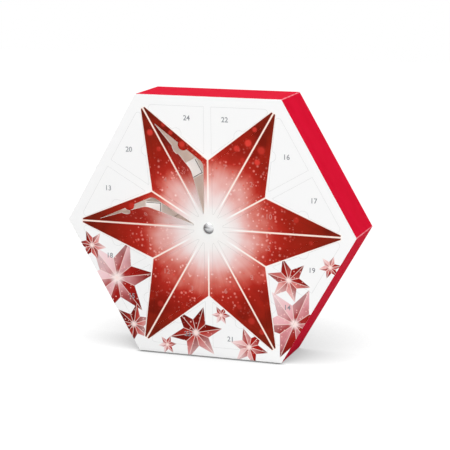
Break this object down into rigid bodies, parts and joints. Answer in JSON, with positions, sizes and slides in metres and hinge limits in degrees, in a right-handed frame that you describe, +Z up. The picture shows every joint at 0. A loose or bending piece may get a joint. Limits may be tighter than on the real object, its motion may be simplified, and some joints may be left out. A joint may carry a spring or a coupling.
{
  "type": "advent calendar",
  "caption": "Hexagonal gift-box advent calendar standing on one side, with a six-pointed star of hinged doors, hinged outer doors and a gift box behind each door.",
  "frame": {"origin": "centre of the face that the box stands on, halfway between front and back", "axes": "+Z up; the star front faces -Y; +X runs to the right as seen from the front, corner to corner of the hexagon"},
  "size_m": [0.36, 0.092, 0.3118],
  "materials": {
    "red_board": "satin red printed carton",
    "white_board": "satin white printed carton",
    "star_board": "satin printed carton, white at the hub through red to dark red tips",
    "grey_board": "matt uncoated grey carton",
    "gift_board": "plain white carton",
    "silver_stud": "bright silver metallised plastic"
  },
  "bodies": {
    "box": {"back_tray": "red_board", "front_panel": "white_board", "ridge_board_1": "grey_board", "ridge_board_2": "grey_board", "ridge_board_3": "grey_board", "valley_board_1": "grey_board", "valley_board_2": "grey_board", "valley_board_3": "grey_board", "star_strip": "grey_board", "centre_stud": "silver_stud", "stud_washer": "silver_stud", "gift_box_01": "gift_board", "gift_box_02": "gift_board", "gift_box_03": "gift_board", "gift_box_04": "gift_board", "gift_box_05": "gift_board", "gift_box_06": "gift_board", "gift_box_07": "gift_board", "gift_box_08": "gift_board", "gift_box_09": "gift_board", "gift_box_10": "gift_board", "gift_box_11": "gift_board", "gift_box_12": "gift_board", "gift_box_13": "gift_board", "gift_box_14": "gift_board", "gift_box_15": "gift_board", "gift_box_16": "gift_board", "gift_box_17": "gift_board", "gift_box_18": "gift_board", "gift_box_19": "gift_board", "gift_box_20": "gift_board", "gift_box_21": "gift_board", "gift_box_22": "gift_board", "gift_box_23": "gift_board", "gift_box_24": "gift_board"},
    "day_01": {"door_01": "star_board"},
    "day_02": {"door_02": "star_board"},
    "day_03": {"door_03": "star_board"},
    "day_04": {"door_04": "star_board"},
    "day_05": {"door_05": "star_board"},
    "day_06": {"door_06": "star_board"},
    "day_07": {"door_07": "star_board"},
    "day_08": {"door_08": "star_board"},
    "day_09": {"door_09": "star_board"},
    "day_10": {"door_10": "star_board"},
    "day_11": {"door_11": "star_board"},
    "day_12": {"door_12": "star_board"},
    "day_13": {"door_13": "white_board"},
    "day_14": {"door_14": "white_board"},
    "day_15": {"door_15": "white_board"},
    "day_16": {"door_16": "white_board"},
    "day_17": {"door_17": "white_board"},
    "day_18": {"door_18": "white_board"},
    "day_19": {"door_19": "white_board"},
    "day_20": {"door_20": "white_board"},
    "day_21": {"door_21": "white_board"},
    "day_22": {"door_22": "white_board"},
    "day_23": {"door_23": "white_board"},
    "day_24": {"door_24": "white_board"}
  },
  "joints": [
    {"name": "door_01_hinge", "type": "hinge", "parent": "box", "child": "day_01", "pos_m": [-0.09, -0.0355, 0.15304], "axis": [-1, 0, 0], "range_deg": [0, 90]},
    {"name": "door_02_hinge", "type": "hinge", "parent": "box", "child": "day_02", "pos_m": [0.04747, -0.0355, 0.2324], "axis": [-0.5, 0, -0.866], "range_deg": [0, 90]},
    {"name": "door_03_hinge", "type": "hinge", "parent": "box", "child": "day_03", "pos_m": [-0.04253, -0.0355, 0.07652], "axis": [-0.5, 0, -0.866], "range_deg": [0, 90]},
    {"name": "door_04_hinge", "type": "hinge", "parent": "box", "child": "day_04", "pos_m": [-0.04747, -0.0355, 0.2324], "axis": [-0.5, 0, 0.866], "range_deg": [0, 90]},
    {"name": "door_05_hinge", "type": "hinge", "parent": "box", "child": "day_05", "pos_m": [0.09, -0.0355, 0.15304], "axis": [-1, 0, 0], "range_deg": [0, 90]},
    {"name": "door_06_hinge", "type": "hinge", "parent": "box", "child": "day_06", "pos_m": [0.04253, -0.0355, 0.07652], "axis": [-0.5, 0, 0.866], "range_deg": [0, 90]},
    {"name": "door_07_hinge", "type": "hinge", "parent": "box", "child": "day_07", "pos_m": [0.04253, -0.0355, 0.23525], "axis": [0.5, 0, 0.866], "range_deg": [0, 90]},
    {"name": "door_08_hinge", "type": "hinge", "parent": "box", "child": "day_08", "pos_m": [-0.09, -0.0355, 0.15873], "axis": [1, 0, 0], "range_deg": [-41, 49]},
    {"name": "door_09_hinge", "type": "hinge", "parent": "box", "child": "day_09", "pos_m": [0.04747, -0.0355, 0.07937], "axis": [0.5, 0, -0.866], "range_deg": [0, 90]},
    {"name": "door_10_hinge", "type": "hinge", "parent": "box", "child": "day_10", "pos_m": [0.09, -0.0355, 0.15873], "axis": [1, 0, 0], "range_deg": [0, 90]},
    {"name": "door_11_hinge", "type": "hinge", "parent": "box", "child": "day_11", "pos_m": [-0.04253, -0.0355, 0.23525], "axis": [0.5, 0, -0.866], "range_deg": [-44, 46]},
    {"name": "door_12_hinge", "type": "hinge", "parent": "box", "child": "day_12", "pos_m": [-0.04747, -0.0355, 0.07937], "axis": [0.5, 0, 0.866], "range_deg": [0, 90]},
    {"name": "door_13_hinge", "type": "hinge", "parent": "box", "child": "day_13", "pos_m": [-0.10187, -0.0355, 0.20944], "axis": [-0.866, 0, 0.5], "range_deg": [0, 90]},
    {"name": "door_14_hinge", "type": "hinge", "parent": "box", "child": "day_14", "pos_m": [0.09732, -0.0355, 0.09444], "axis": [-0.866, 0, 0.5], "range_deg": [0, 90]},
    {"name": "door_15_hinge", "type": "hinge", "parent": "box", "child": "day_15", "pos_m": [-0.09732, -0.0355, 0.09444], "axis": [-0.866, 0, -0.5], "range_deg": [0, 90]},
    {"name": "door_16_hinge", "type": "hinge", "parent": "box", "child": "day_16", "pos_m": [0.09732, -0.0355, 0.21732], "axis": [0.866, 0, 0.5], "range_deg": [0, 90]},
    {"name": "door_17_hinge", "type": "hinge", "parent": "box", "child": "day_17", "pos_m": [0.10187, -0.0355, 0.20944], "axis": [-0.866, 0, -0.5], "range_deg": [0, 90]},
    {"name": "door_18_hinge", "type": "hinge", "parent": "box", "child": "day_18", "pos_m": [-0.10187, -0.0355, 0.10232], "axis": [0.866, 0, 0.5], "range_deg": [0, 90]},
    {"name": "door_19_hinge", "type": "hinge", "parent": "box", "child": "day_19", "pos_m": [0.10187, -0.0355, 0.10232], "axis": [0.866, 0, -0.5], "range_deg": [0, 90]},
    {"name": "door_20_hinge", "type": "hinge", "parent": "box", "child": "day_20", "pos_m": [-0.09732, -0.0355, 0.21732], "axis": [0.866, 0, -0.5], "range_deg": [0, 90]},
    {"name": "door_21_hinge", "type": "hinge", "parent": "box", "child": "day_21", "pos_m": [0.00455, -0.0355, 0.04088], "axis": [0, 0, -1], "range_deg": [0, 90]},
    {"name": "door_22_hinge", "type": "hinge", "parent": "box", "child": "day_22", "pos_m": [0.00455, -0.0355, 0.27088], "axis": [0, 0, -1], "range_deg": [0, 90]},
    {"name": "door_23_hinge", "type": "hinge", "parent": "box", "child": "day_23", "pos_m": [-0.00455, -0.0355, 0.04088], "axis": [0, 0, 1], "range_deg": [0, 90]},
    {"name": "door_24_hinge", "type": "hinge", "parent": "box", "child": "day_24", "pos_m": [-0.00455, -0.0355, 0.27088], "axis": [0, 0, 1], "range_deg": [0, 90]}
  ]
}
